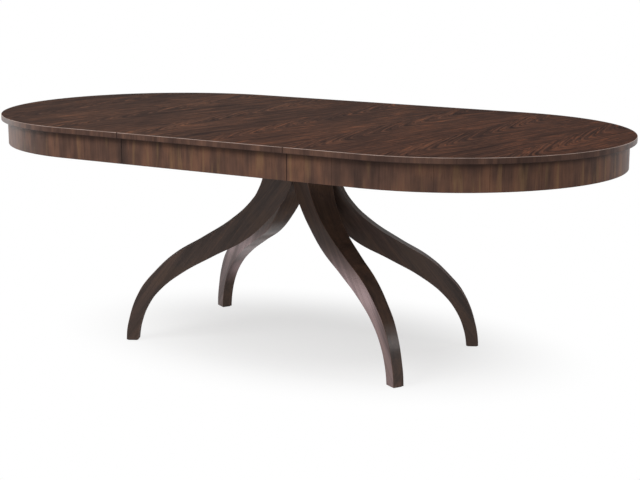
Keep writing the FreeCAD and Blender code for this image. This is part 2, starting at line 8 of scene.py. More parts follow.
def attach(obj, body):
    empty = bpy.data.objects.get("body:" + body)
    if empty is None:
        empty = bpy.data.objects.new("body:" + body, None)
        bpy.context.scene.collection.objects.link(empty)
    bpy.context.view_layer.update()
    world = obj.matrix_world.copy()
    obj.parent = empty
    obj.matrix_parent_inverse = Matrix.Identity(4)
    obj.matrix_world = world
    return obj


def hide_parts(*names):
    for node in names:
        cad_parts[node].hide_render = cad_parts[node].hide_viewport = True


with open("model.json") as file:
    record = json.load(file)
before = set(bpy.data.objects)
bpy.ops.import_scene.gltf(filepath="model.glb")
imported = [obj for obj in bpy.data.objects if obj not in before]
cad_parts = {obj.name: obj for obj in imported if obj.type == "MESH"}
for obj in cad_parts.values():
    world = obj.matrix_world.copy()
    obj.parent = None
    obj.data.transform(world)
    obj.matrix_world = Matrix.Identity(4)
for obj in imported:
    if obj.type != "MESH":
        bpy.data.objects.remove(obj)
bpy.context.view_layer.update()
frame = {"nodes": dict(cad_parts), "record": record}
bodies = frame["record"]["behaviour"]["bodies"]
bodyOfNode = {node: body for body, nodes in bodies.items() for node in nodes}
print("frame loaded with", len(bodyOfNode), "nodes")

left, right = -1, 1
front, back = -1, 1
millimetre = 0.001
weldDistance = 0.002 * millimetre
flatAngle = math.radians(0.6)    # faces that turn by less than this count as one
creaseAngle = math.radians(25)   # edges that turn by more than this are eased


def tone(red, green, blue):
    # a colour as a screen gives it, turned linear for the shader
    linear = []
    for value in (red, green, blue):
        share = value / 255
        linear.append(share / 12.92 if share <= 0.04045 else ((share + 0.055) / 1.055) ** 2.4)
    return (*linear, 1.0)


# Node trees, for materials and geometry alike

class Wire:
    # one output socket; maths on it adds the nodes
    def __init__(self, sheet, socket):
        self.sheet = sheet
        self.socket = socket

    def __add__(self, other):
        return self.sheet.maths("ADD", self, other)

    def __radd__(self, other):
        return self.sheet.maths("ADD", other, self)

    def __sub__(self, other):
        return self.sheet.maths("SUBTRACT", self, other)

    def __rsub__(self, other):
        return self.sheet.maths("SUBTRACT", other, self)

    def __mul__(self, other):
        return self.sheet.maths("MULTIPLY", self, other)

    def __rmul__(self, other):
        return self.sheet.maths("MULTIPLY", other, self)

    def __truediv__(self, other):
        return self.sheet.maths("DIVIDE", self, other)

    def __rtruediv__(self, other):
        return self.sheet.maths("DIVIDE", other, self)

    def __pow__(self, other):
        return self.sheet.maths("POWER", self, other)

    def __rpow__(self, other):
        return self.sheet.maths("POWER", other, self)


class NodeSheet:
    def __init__(self, tree):
        self.tree = tree

    def node(self, kind, settings=None, inputs=None, output=0):
        made = self.tree.nodes.new(kind)
        for key, value in (settings or {}).items():
            if key == "stops":
                self.setStops(made.color_ramp, value)
            elif key == "curve":
                self.setCurve(made.mapping, value)
            else:
                setattr(made, key, value)
        for key, value in (inputs or {}).items():
            self.plug(made.inputs[key], value)
        return Wire(self, made.outputs[output]) if made.outputs else None

    def plug(self, socket, value):
        if isinstance(value, Wire):
            self.tree.links.new(value.socket, socket)
        else:
            socket.default_value = value

    def setStops(self, ramp, stops):
        while len(ramp.elements) > 1:
            ramp.elements.remove(ramp.elements[-1])
        ramp.elements[0].position = stops[0][0]
        ramp.elements[0].color = stops[0][1]
        for position, colour in stops[1:]:
            ramp.elements.new(position).color = colour

    def setCurve(self, mapping, points):
        curve = mapping.curves[0]
        curve.points[0].location = points[0]
        curve.points[-1].location = points[-1]
        for place, value in points[1:-1]:
            curve.points.new(place, value)
        mapping.update()

    def maths(self, operation, *values):
        return self.node("ShaderNodeMath", {"operation": operation}, dict(enumerate(values)))

    def vector(self, x, y, z):
        return self.node("ShaderNodeCombineXYZ", None, {"X": x, "Y": y, "Z": z})

    def split(self, wire):
        return [self.node("ShaderNodeSeparateXYZ", None, {0: wire}, axis) for axis in (0, 1, 2)]

    def between(self, value, start, end):
        # turns smoothly from 0 at the start to 1 at the end, and either may be the higher
        return self.node("ShaderNodeMapRange", {"interpolation_type": "SMOOTHSTEP"},
                         {"Value": value, "From Min": start, "From Max": end})

    def seenBy(self, *rays):
        # 1 for these kinds of ray, 0 for all others
        seen = 0.0
        for ray in rays:
            seen = self.maths("MAXIMUM", seen, self.node("ShaderNodeLightPath", None, None, ray))
        return seen


# Materials; in a noise call, a factor on a length gives the cells per metre

class Finish(NodeSheet):
    def __init__(self, name):
        self.material = bpy.data.materials.new(name)
        self.material.use_nodes = True
        super().__init__(self.material.node_tree)
        self.tree.nodes.clear()

    def place(self):
        return self.node("ShaderNodeTexCoord", None, None, "Object")

    def attribute(self, name, output):
        return self.node("ShaderNodeAttribute", {"attribute_name": name}, None, output)

    def noise(self, x, y, z, detail=2.0, roughness=0.5):
        return self.node("ShaderNodeTexNoise", {"noise_dimensions": "3D"},
                         {"Vector": self.vector(x, y, z), "Scale": 1.0, "Detail": detail,
                          "Roughness": roughness})

    def streaks(self, value, seed, detail, roughness):
        # noise along one line, for bands of uneven width
        return self.node("ShaderNodeTexNoise", {"noise_dimensions": "2D"},
                         {"Vector": self.vector(value, seed, 0.0), "Scale": 1.0, "Detail": detail,
                          "Roughness": roughness})

    def chance(self, value):
        return self.node("ShaderNodeTexWhiteNoise", {"noise_dimensions": "1D"}, {"W": value})

    def slant(self):
        # 0 where the surface is seen square on, 1 where it is seen edge on
        return self.node("ShaderNodeLayerWeight", None, {"Blend": 0.5}, "Facing")

    def ramp(self, value, *stops):
        return self.node("ShaderNodeValToRGB", {"stops": stops}, {"Fac": value})

    def blend(self, share, first, second, how="MIX"):
        return self.node("ShaderNodeMix", {"data_type": "RGBA", "blend_type": how},
                         {0: share, 6: first, 7: second}, 2)

    def bump(self, height, strength, distance):
        return self.node("ShaderNodeBump", None,
                         {"Height": height, "Strength": strength, "Distance": distance})

    def coat(self, inputs, shine=0.0, mirror=None):
        # mirror holds the inputs of a tinted sheen, which covers the share that shine gives
        shader = self.node("ShaderNodeBsdfPrincipled", None, inputs, "BSDF")
        if mirror:
            sheen = self.node("ShaderNodeBsdfPrincipled", None, mirror, "BSDF")
            shader = self.node("ShaderNodeMixShader", None, {0: shine, 1: shader, 2: sheen})
        self.node("ShaderNodeOutputMaterial", None, {"Surface": shader})
        return self.material


seamPlace = 0.305                # the two joints lie this far to the left and right of the middle
lacquerBend = 1.45               # the index of refraction of lacquer
plasticBend = 1.5
poreSpan = (0.60, 0.70)          # a pore shows where its noise is over this

topVeneerLook = {
    "sheetWidth": 0.305,         # one sheet of veneer; the sheets repeat side by side
    "figureCentre": 0.070,       # from a sheet's left edge to the middle of its figure
    "armSlope": 0.20,            # how fast the figure's arms spread towards the back
    "ringWidth": 0.0075,
    "apexRound": 0.022,          # rounds the point where the two arms meet
    "wander": 0.06,
    "ripple": 0.022,
    "ringRipple": 0.012,
    "bandShare": 0.38,
    "fleckShare": 0.30,
    "grainShare": 0.12,
    "broadShare": 0.20,
    "dark": (0.39, tone(44, 33, 30)),      # the ramp's stop and its colour
    "middle": (0.49, tone(70, 52, 45)),
    "light": (0.60, tone(108, 76, 60)),
    "glint": tone(132, 86, 62),
    "glintSpan": (0.57, 0.68),
    "glintShare": 0.75,
    "busySpan": (0.38, 0.58),    # glints show only in the busy patches
    "line": tone(32, 25, 24),
    "nickSpan": (0.57, 0.65),
    "nickShare": 0.6,
    "poreShare": 0.35,
    "seamLine": (0.0014, 0.0006),  # the joint is dark within this distance
    "seamShare": 0.6,
    "warm": tone(255, 208, 186),
    "warmSpan": (-0.7, 1.0),     # the wood gets warmer from the left end to the right
    "warmShare": 0.4,
    "roughness": 0.36,
    "gloss": 0.0006,             # rubbed flat: a glossier top mirrors the white room at a low view
    "satin": 0.3,                # seen from above only
    "satinEnd": (0.5, 0.8),
    "satinRoughness": 0.3,
}


def makeTopVeneer(look):
    f = Finish("topVeneer")
    x, y = f.split(f.place())[:2]
    sheet = f.maths("FLOOR", x / look["sheetWidth"])
    wander = f.noise(x * 2.2, y * 1.1, sheet * 3.7) - 0.5
    ripple = f.noise(x * 13.0, y * 5.0, sheet * 1.3, detail=3.0, roughness=0.6) - 0.5
    aside = x - sheet * look["sheetWidth"] - look["figureCentre"]
    aside = aside + wander * look["wander"] + ripple * look["ripple"]
    reach = f.maths("SQRT", aside ** 2.0 + look["apexRound"] ** 2)
    rings = reach - y * look["armSlope"] + wander * look["wander"] + ripple * look["ringRipple"]
    rings = rings / look["ringWidth"]
    bands = f.streaks(rings, sheet * 0.35 + y * 0.6, detail=3.0, roughness=0.7)
    # short flecks lie along the rings
    flecks = f.noise(rings * 0.8, y * 8.0, sheet, detail=3.0, roughness=0.65)
    nicks = f.noise(rings * 1.3 + 31.0, y * 13.0, sheet, roughness=0.6)
    grain = f.noise(x * 260.0, y * 7.0, sheet, roughness=0.6)
    broad = f.noise(x * 5.5, y * 2.2, sheet * 5.0)
    mixed = bands * look["bandShare"] + flecks * look["fleckShare"] + grain * look["grainShare"]
    mixed = mixed + broad * look["broadShare"]
    wood = f.ramp(mixed, look["dark"], look["middle"], look["light"])
    glints = f.between(flecks, *look["glintSpan"]) * f.between(broad, *look["busySpan"])
    wood = f.blend(glints * look["glintShare"], wood, look["glint"])
    wood = f.blend(f.between(nicks, *look["nickSpan"]) * look["nickShare"], wood, look["line"])
    warmed = f.blend(1.0, wood, look["warm"], "MULTIPLY")
    wood = f.blend(f.between(x + wander, *look["warmSpan"]) * look["warmShare"], wood, warmed)
    pores = f.between(f.noise(x * 520.0, y * 16.0, 3.0, detail=1.0), *poreSpan)
    wood = f.blend(pores * look["poreShare"], wood, look["line"])
    fromSeam = f.maths("ABSOLUTE", f.maths("ABSOLUTE", x) - seamPlace)
    wood = f.blend(f.between(fromSeam, *look["seamLine"]) * look["seamShare"], wood, look["line"])
    fromAbove = 1.0 - f.between(f.slant(), *look["satinEnd"])
    return f.coat({"Base Color": wood, "Roughness": look["roughness"] + grain * 0.1, "IOR": lacquerBend,
                   "Specular IOR Level": look["gloss"], "Coat Roughness": look["satinRoughness"],
                   "Coat Weight": fromAbove * look["satin"],
                   "Normal": f.bump(grain * 0.25 - pores * 0.6, strength=0.12, distance=0.0004)})


uprightFigure = {                # shared by the apron and the edge band
    "sway": 0.006,
    "wideShare": 0.40,
    "fineShare": 0.13,
    "tintShare": 0.06,
    "mottleShare": 0.38,
    "lift": 0.02,
    "darkUpTo": 0.36,
    "middleAt": 0.49,
    "lightFrom": 0.62,
    "goldSpan": (0.56, 0.72),
    "goldShare": 0.3,
    "smokeSpan": (0.46, 0.66),
    "smokeShare": 0.4,
    "jointSpan": (0.494, 0.499),  # from a sheet's middle, in sheet widths
    "jointShare": 0.6,
    "poreShare": 0.3,
    # painted highlight on the upper arris: its height, and how far short of a joint it stops
    "arrisHighlightHeight": 0.0010,
    "arrisHighlightClear": (0.0015, 0.003),  # the painted highlight line stops this far from a joint
    "seamTick": (0.0024, 0.0010),  # the joint's dark end on the band
}

apronVeneerLook = {
    "sheetWidth": 0.152,
    "dark": tone(64, 50, 45),
    "middle": tone(93, 69, 59),
    "light": tone(117, 84, 67),
    "gold": tone(142, 112, 78),
    "joint": tone(38, 29, 27),
    # the colour of the painted highlight on the upper arris
    "wearAndHighlight": tone(120, 90, 78),
    "arrisHighlightLevel": 1.0,             # above the band, so no painted highlight shows
    "paintedShade": (0.722, 0.742),      # painted shade: the band is darkened over this height, under the board above it
    "paintedShadeShare": 0.62,
    "roughness": 0.34,
    "gloss": 0.05,
}

edgeBandLook = {
    "sheetWidth": 0.076,
    "dark": tone(62, 46, 41),
    "middle": tone(84, 63, 55),
    "light": tone(106, 78, 65),
    "gold": tone(116, 84, 66),
    "joint": tone(46, 34, 32),
    # the pale colour of the painted highlight on the upper arris
    "wearAndHighlight": tone(206, 184, 172),
    "arrisHighlightLevel": 0.7604,          # painted highlight: the upper arris is painted pale from here up
    "paintedShade": (0.7462, 0.7440),    # painted shade: darker down to its lower edge
    "paintedShadeShare": 0.6,
    "roughness": 0.28,
    "gloss": 0.07,
}


def makeUprightVeneer(name, look, figure):
    # grain stands upright; the pattern runs along the rim
    f = Finish(name)
    along = f.attribute("rimPlace", "Fac")
    x, z = f.split(f.place())[::2]
    sheet = f.maths("FLOOR", along / look["sheetWidth"])
    inSheet = along / look["sheetWidth"] - sheet
    tint = f.chance(sheet + 0.5)
    lean = along + f.noise(along * 3.0, z * 9.0, 4.0, detail=1.0) * figure["sway"]
    wide = f.noise(lean * 32.0, z * 3.0, 1.0)
    fine = f.noise(lean * 300.0, z * 5.0, 5.0, roughness=0.6)
    mottle = f.noise(along * 20.0, z * 8.0, 8.0)
    mixed = wide * figure["wideShare"] + fine * figure["fineShare"] + tint * figure["tintShare"]
    mixed = mixed + mottle * figure["mottleShare"] + figure["lift"]
    wood = f.ramp(mixed, (figure["darkUpTo"], look["dark"]), (figure["middleAt"], look["middle"]),
                  (figure["lightFrom"], look["light"]))
    gold = f.between(f.noise(lean * 60.0, z * 5.0, 9.0, detail=1.0), *figure["goldSpan"])
    wood = f.blend(gold * figure["goldShare"], wood, look["gold"])
    smoke = f.noise(along * 8.0, z * 7.0, 12.0)
    wood = f.blend(f.between(smoke, *figure["smokeSpan"]) * figure["smokeShare"], wood, look["dark"])
    edge = f.maths("ABSOLUTE", inSheet - 0.5)
    wood = f.blend(f.between(edge, *figure["jointSpan"]) * figure["jointShare"], wood, look["joint"])
    pores = f.between(f.noise(along * 700.0, z * 22.0, 2.0, detail=1.0), *poreSpan)
    wood = f.blend(pores * figure["poreShare"], wood, look["joint"])
    # painted shade: the apron darkens under the board above it, the edge band towards its lower edge
    wood = f.blend(f.between(z, *look["paintedShade"]) * look["paintedShadeShare"], wood, look["joint"])
    fromSeam = f.maths("ABSOLUTE", f.maths("ABSOLUTE", x) - seamPlace)
    patchy = f.noise(along * 12.0, 0.0, 6.0)
    # painted highlight: a pale, patchy line along the upper arris, stopped short of each joint
    arrisHighlightTop = look["arrisHighlightLevel"] + figure["arrisHighlightHeight"]
    arrisHighlightMask = f.between(z, look["arrisHighlightLevel"], arrisHighlightTop) * f.between(fromSeam, *figure["arrisHighlightClear"])
    wood = f.blend(arrisHighlightMask * (patchy * 1.4 + 0.05), wood, look["wearAndHighlight"])
    wood = f.blend(f.between(fromSeam, *figure["seamTick"]) * figure["jointShare"], wood, look["joint"])
    return f.coat({"Base Color": wood, "Roughness": look["roughness"] + fine * 0.08, "IOR": lacquerBend,
                   "Specular IOR Level": look["gloss"],
                   "Normal": f.bump(fine * 0.3 - pores * 0.6, strength=0.12, distance=0.0004)})


legLacquerLook = {
    "bandShare": 0.65,
    "fibreShare": 0.35,
    "dark": (0.34, tone(55, 45, 41)),
    "middle": (0.50, tone(72, 58, 52)),
    "light": (0.70, tone(93, 72, 61)),
    "warm": tone(80, 62, 49),
    "warmSpan": (0.48, 0.66),
    "warmShare": 0.35,
    # the colour of the scuffed feet, also painted on the arrises as a painted highlight
    "wearAndArrisHighlight": tone(128, 96, 84),
    "wornSpan": (0.5, 0.65),
    "wornShare": 0.35,
    "wornLevel": 0.03,           # the feet are scuffed below this
    "roughness": 0.24,
    "gloss": 0.05,
    "glance": tone(255, 240, 238),  # the tint of what the lacquer mirrors
    "edgeDull": 0.45,            # how much rougher the lacquer looks along the line of sight
    # the spans below are of slant, from 0 seen square on to 1 seen edge on
    "satin": 0.34,               # strongest on faces seen square on or well aslant
    "squareEnd": (0.25, 0.42),
    "aslantStart": (0.50, 0.62),
    "grazingStart": (0.72, 0.88),
    "sheen": tone(255, 224, 228),
    "sheenStart": (0.28, 0.46),
    "sheenFall": (0.50, 0.60),
    "sheenFallShare": 0.6,
    "sheenGrazing": 0.95,
    # height over the floor and the share that is polished there
    "polish": ((0.00, 0.11), (0.14, 0.13), (0.21, 0.19), (0.26, 0.28), (0.30, 0.19), (0.345, 0.06),
               (0.40, 0.00), (1.00, 0.00)),
}


def makeLegLacquer(look):
    f = Finish("legLacquer")
    along, across, through = f.split(f.attribute("boardPlace", "Vector"))
    wave = f.noise(along * 1.5, across * 3.0, through * 3.0) - 0.5
    bands = f.noise(along * 1.4, (across + wave * 0.03) * 45.0, through * 30.0, detail=3.0, roughness=0.6)
    fibre = f.noise(along * 7.0, across * 420.0, through * 420.0)
    mixed = bands * look["bandShare"] + fibre * look["fibreShare"]
    wood = f.ramp(mixed, look["dark"], look["middle"], look["light"])
    level = f.split(f.place())[2]
    scuff = f.noise(along * 30.0, across * 60.0, through * 60.0, detail=3.0)
    wearAndHighlight = f.between(level, look["wornLevel"], 0.0) * f.between(scuff, *look["wornSpan"])
    wood = f.blend(wearAndHighlight * look["wornShare"], wood, look["wearAndArrisHighlight"])
    cloud = f.noise(along * 9.0, across * 14.0, through * 14.0, detail=3.0)
    wood = f.blend(f.between(cloud, *look["warmSpan"]) * look["warmShare"], wood, look["warm"])
    # painted highlight: the arrises are painted paler, standing in for the light they catch
    edge = f.attribute("arrisShare", "Fac")
    wood = f.blend(edge * (cloud * 0.7 + 0.1), wood, look["wearAndArrisHighlight"])
    slant = f.slant()
    grazing = f.between(slant, *look["grazingStart"])
    # the sheen is strongest on faces seen at a middling slant, and follows the grain
    fall = f.between(slant, *look["sheenFall"]) * look["sheenFallShare"]
    shine = f.between(slant, *look["sheenStart"]) * (1.0 - fall) * (1.0 - grazing * look["sheenGrazing"])
    shine = shine * (bands * 2.4 - 0.2)
    satin = 1.0 - f.between(slant, *look["squareEnd"])
    satin = satin + f.between(slant, *look["aslantStart"]) * (1.0 - grazing)
    polish = f.node("ShaderNodeFloatCurve", {"curve": look["polish"]}, {"Value": level})
    rough = look["roughness"] + cloud * 0.1 + wearAndHighlight * 0.2 + grazing * look["edgeDull"]
    relief = f.bump(fibre * 0.4 + bands * 0.3, strength=0.08, distance=0.0003)
    return f.coat({"Base Color": wood, "Roughness": rough, "IOR": lacquerBend,
                   "Specular IOR Level": look["gloss"], "Specular Tint": look["glance"],
                   "Coat Weight": satin * look["satin"], "Coat Roughness": look["roughness"],
                   "Normal": relief}, shine * polish,
                  {"Base Color": look["sheen"], "Metallic": 1.0, "Roughness": look["roughness"],
                   "Normal": relief})


frameTones = {"dark": tone(150, 112, 74), "light": tone(196, 160, 116)}

plainWoodLooks = {
    "slideWood": {"dark": tone(158, 118, 76), "light": tone(205, 168, 120), "roughness": 0.42,
                  "rings": 60.0, "axis": "X"},
    "frameWood": {**frameTones, "roughness": 0.6, "rings": 40.0, "axis": "X"},
    "crossWood": {**frameTones, "roughness": 0.6, "rings": 40.0, "axis": "Y"},
    "pinWood": {"dark": tone(176, 138, 94), "light": tone(214, 180, 134), "roughness": 0.5,
                "rings": 160.0, "axis": "X"},
    "underVeneer": {"dark": tone(56, 44, 38), "light": tone(82, 63, 52), "roughness": 0.7,
                    "rings": 34.0, "axis": "Y"},
}

plainWoodFigure = {
    "ringShare": 0.7,
    "fibreShare": 0.3,
    "darkUpTo": 0.36,
    "lightFrom": 0.64,
    "handledSpan": (0.45, 0.75),
    "handledShare": 0.25,
}


def makePlainWood(name, look):
    figure = plainWoodFigure
    f = Finish(name)
    x, y, z = f.split(f.place())
    along, across = (x, y) if look["axis"] == "X" else (y, x)
    wave = f.noise(along * 1.3, across * 4.0, z * 4.0) - 0.5
    rings = f.noise(along * 1.2, (across + wave * 0.05) * look["rings"], z * look["rings"], detail=3.0)
    fibre = f.noise(along * 9.0, across * 500.0, z * 500.0)
    wood = f.ramp(rings * figure["ringShare"] + fibre * figure["fibreShare"],
                  (figure["darkUpTo"], look["dark"]), (figure["lightFrom"], look["light"]))
    handled = f.between(f.noise(x * 6.0, y * 6.0, z * 6.0, detail=4.0), *figure["handledSpan"])
    wood = f.blend(handled * figure["handledShare"], wood, look["dark"])
    return f.coat({"Base Color": wood, "Roughness": look["roughness"] + fibre * 0.12, "IOR": lacquerBend,
                   "Normal": f.bump(fibre * 0.5 + rings * 0.3, strength=0.2, distance=0.0004)})


metalLooks = {
    "zincSteel": {"colour": tone(190, 190, 184), "stain": tone(150, 148, 138), "roughness": 0.34},
    "plateSteel": {"colour": tone(176, 176, 174), "stain": tone(132, 131, 127), "roughness": 0.38},
}
metalStain = {"span": (0.4, 0.7), "share": 0.6}


def makeMetal(name, look):
    f = Finish(name)
    x, y, z = f.split(f.place())
    brushed = f.noise(x * 900.0, y * 60.0, z * 900.0)
    patch = f.noise(x * 60.0, y * 60.0, z * 60.0, detail=4.0)
    colour = f.blend(f.between(patch, *metalStain["span"]) * metalStain["share"],
                     look["colour"], look["stain"])
    return f.coat({"Base Color": colour, "Metallic": 1.0,
                   "Roughness": look["roughness"] + patch * 0.2 + brushed * 0.08,
                   "Normal": f.bump(brushed, strength=0.06, distance=0.0002)})


plasticLooks = {
    "pinionPlastic": {"colour": tone(226, 221, 205), "stain": tone(196, 188, 168), "roughness": 0.45},
    "glidePlastic": {"colour": tone(44, 40, 38), "stain": tone(74, 70, 66), "roughness": 0.5},
}
plasticStain = {"span": (0.42, 0.72), "share": 0.5}


def makePlastic(name, look):
    f = Finish(name)
    x, y, z = f.split(f.place())
    speck = f.noise(x * 1400.0, y * 1400.0, z * 1400.0)
    patch = f.noise(x * 45.0, y * 45.0, z * 45.0, detail=3.0)
    colour = f.blend(f.between(patch, *plasticStain["span"]) * plasticStain["share"],
                     look["colour"], look["stain"])
    return f.coat({"Base Color": colour, "Roughness": look["roughness"] + patch * 0.15, "IOR": plasticBend,
                   "Normal": f.bump(speck, strength=0.1, distance=0.0002)})


finishes = {
    "topVeneer": makeTopVeneer(topVeneerLook),
    "apronVeneer": makeUprightVeneer("apronVeneer", apronVeneerLook, uprightFigure),
    "edgeBand": makeUprightVeneer("edgeBand", edgeBandLook, uprightFigure),
    "legLacquer": makeLegLacquer(legLacquerLook),
}
for make, looks in ((makePlainWood, plainWoodLooks), (makeMetal, metalLooks), (makePlastic, plasticLooks)):
    for name, look in looks.items():
        finishes[name] = make(name, look)
print("finishes made:", len(finishes))


# Pieces

def newPiece(name, mesh):
    piece = bpy.data.objects.new(name, mesh)
    bpy.context.scene.collection.objects.link(piece)
    return piece


def flatten(piece):
    # the evaluated shape as a plain mesh, with no modifier left
    graph = bpy.context.evaluated_depsgraph_get()
    mesh = bpy.data.meshes.new_from_object(piece.evaluated_get(graph), preserve_all_data_layers=True,
                                           depsgraph=graph)
    piece.modifiers.clear()
    piece.data = mesh
    return piece


def shade(piece, angle=40):
    # smooth, with true creases, and wide faces ruling the normals of the narrow ones
    mesh = piece.data
    mesh.polygons.foreach_set("use_smooth", [True] * len(mesh.polygons))
    mesh.set_sharp_from_angle(angle=math.radians(angle))
    weigh = piece.modifiers.new("weigh", "WEIGHTED_NORMAL")
    weigh.keep_sharp = True
    return flatten(piece)


def settle(piece, slot, *nodes):
    # the piece rides with its CAD node's body and stands for it
    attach(piece, bodyOfNode[nodes[0]])
    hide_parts(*nodes)


def easedCopy(name, node, ease, steps=2):
    # a CAD node's shape with its sharp edges eased
    source = frame["nodes"][node].data
    bm = bmesh.new()
    for vert in source.vertices:
        bm.verts.new(vert.co)
    bm.verts.ensure_lookup_table()
    for polygon in source.polygons:
        bm.faces.new([bm.verts[index] for index in polygon.vertices])
    bmesh.ops.remove_doubles(bm, verts=bm.verts, dist=weldDistance)
    bmesh.ops.dissolve_limit(bm, angle_limit=flatAngle, verts=bm.verts, edges=bm.edges)
    creases = [edge for edge in bm.edges if edge.is_manifold and edge.calc_face_angle() > creaseAngle]
    bmesh.ops.bevel(bm, geom=creases, offset=ease, segments=steps, profile=0.5, affect="EDGES",
                    clamp_overlap=True)
    bmesh.ops.dissolve_degenerate(bm, dist=0.0005 * millimetre, edges=bm.edges)
    mesh = bpy.data.meshes.new(name)
    bm.to_mesh(mesh)
    bm.free()
    return newPiece(name, mesh)


def writeRimPlaces(mesh, places):
    # where each point lies along the rim, for the veneer's pattern
    mesh.attributes.new("rimPlace", "FLOAT", "POINT").data.foreach_set("value", places)


def newGeometryTree(name, sizes):
    # a tree with named inputs for its sizes; gives its sheet and the sizes as wires
    tree = bpy.data.node_groups.new(name, "GeometryNodeTree")
    tree.interface.new_socket(name="Geometry", in_out="INPUT", socket_type="NodeSocketGeometry")
    for label, value in sizes.items():
        kind = "NodeSocketInt" if isinstance(value, int) else "NodeSocketFloat"
        tree.interface.new_socket(name=label, in_out="INPUT", socket_type=kind).default_value = value
    tree.interface.new_socket(name="Geometry", in_out="OUTPUT", socket_type="NodeSocketGeometry")
    sheet = NodeSheet(tree)
    ports = tree.nodes.new("NodeGroupInput")
    return sheet, {label: Wire(sheet, ports.outputs[label]) for label in sizes}


def closeTree(sheet, geometry, material):
    real = sheet.node("GeometryNodeRealizeInstances", None, {"Geometry": geometry})
    painted = sheet.node("GeometryNodeSetMaterial", None, {"Geometry": real, "Material": material})
    sheet.node("NodeGroupOutput", None, {"Geometry": painted})
    return sheet.tree


def grow(name, tree, sizes):
    # an object made by a tree, with some of its inputs set
    piece = newPiece(name, bpy.data.meshes.new(name))
    modifier = piece.modifiers.new(name, "NODES")
    modifier.node_group = tree
    for item in tree.interface.items_tree:
        if item.in_out == "INPUT" and item.name in sizes:
            modifier[item.identifier] = sizes[item.name]
    return flatten(piece)


# Legs: each is lofted from the outline of its side and the outline of its front

legShape = {
    "angle": 27.8,               # from the table's long axis, in degrees
    "reach": 0.599,
    "footLevel": 0.003,          # each leg stands on a thin glide
    "topLevel": 0.6733,
    "footThickness": 0.038,
    "topThickness": 0.104,
    "arris": 0.0012,
    "rings": 110,
    "arrisSteps": 4,
    "creaseAngle": 50,
    # the side outlines: share of the height, and share of the reach
    "outer": ((0.000, 1.000), (0.085, 0.989), (0.263, 0.915), (0.353, 0.834), (0.442, 0.724),
              (0.531, 0.556), (0.621, 0.399), (0.710, 0.291), (0.799, 0.228), (0.888, 0.198),
              (1.000, 0.188)),
    "inner": ((0.000, 0.933), (0.085, 0.916), (0.174, 0.875), (0.263, 0.800), (0.353, 0.673),
              (0.442, 0.495), (0.531, 0.309), (0.621, 0.194), (0.710, 0.110), (0.790, 0.060),
              (0.836, 0.0451), (1.000, 0.0451)),
    # share of the height, and how far the thickness has grown from the foot's to the top's
    "flare": ((0.000, 0.00), (0.174, 0.03), (0.353, 0.14), (0.531, 0.33), (0.710, 0.62),
              (0.888, 0.89), (1.000, 1.00)),
    "grainTurn": 37.0,           # between the board's grain and the upright, in degrees
}


def makeLegTree(shape):
    steps = shape["arrisSteps"]
    around = 4 * (steps + 1)
    sheet, sizes = newGeometryTree("sweptLeg", {
        "Reach": shape["reach"], "Foot Level": shape["footLevel"], "Top Level": shape["topLevel"],
        "Foot Thickness": shape["footThickness"], "Top Thickness": shape["topThickness"],
        "Arris": shape["arris"], "Rings": shape["rings"]})
    grid = sheet.node("GeometryNodeMeshGrid", None, {
        "Size X": 1.0, "Size Y": 1.0, "Vertices X": around + 1, "Vertices Y": sizes["Rings"]})
    gridX, gridY = sheet.split(sheet.node("GeometryNodeInputPosition"))[:2]
    station = sheet.maths("ROUND", (gridX + 0.5) * around)
    level = gridY + 0.5
    corner = sheet.maths("FLOOR", (station + 0.01) / (steps + 1))    # 0.01 guards against rounding down
    step = (station - corner * (steps + 1)) / steps
    turn = (corner + step) * (math.pi / 2)
    middle = (corner + 0.5) * (math.pi / 2)
    sideX = sheet.maths("SIGN", sheet.maths("COSINE", middle))
    sideY = sheet.maths("SIGN", sheet.maths("SINE", middle))

    def outline(points):
        return sheet.node("ShaderNodeFloatCurve", {"curve": points}, {"Value": level})

    outer = outline(shape["outer"]) * sizes["Reach"]
    inner = outline(shape["inner"]) * sizes["Reach"]
    growth = sizes["Top Thickness"] - sizes["Foot Thickness"]
    thick = sizes["Foot Thickness"] + growth * outline(shape["flare"])
    arris = sizes["Arris"]
    x = (outer + inner) * 0.5 + sideX * ((outer - inner) * 0.5 - arris)
    x = x + arris * sheet.maths("COSINE", turn)
    y = sideY * (thick * 0.5 - arris) + arris * sheet.maths("SINE", turn)
    z = sizes["Foot Level"] + level * (sizes["Top Level"] - sizes["Foot Level"])
    lean = math.radians(shape["grainTurn"])
    along = z * math.cos(lean) - x * math.sin(lean)
    across = x * math.cos(lean) + z * math.sin(lean)
    marked = sheet.node("GeometryNodeStoreNamedAttribute", {"data_type": "FLOAT_VECTOR", "domain": "POINT"},
                        {"Geometry": grid, "Name": "boardPlace", "Value": sheet.vector(along, across, y)})
    marked = sheet.node("GeometryNodeStoreNamedAttribute", {"data_type": "FLOAT", "domain": "POINT"},
                        {"Geometry": marked, "Name": "arrisShare", "Value": step * (1.0 - step) * 4.0})
    # moved last, because the values above are worked out from the flat grid
    placed = sheet.node("GeometryNodeSetPosition", None,
                        {"Geometry": marked, "Position": sheet.vector(x, y, z)})
    welded = sheet.node("GeometryNodeMergeByDistance", None, {"Geometry": placed, "Distance": weldDistance})
    return closeTree(sheet, welded, finishes["legLacquer"])


def closeRims(bm):
    openEdges = [edge for edge in bm.edges if edge.is_boundary]
    if openEdges:
        bmesh.ops.holes_fill(bm, edges=openEdges, sides=0)


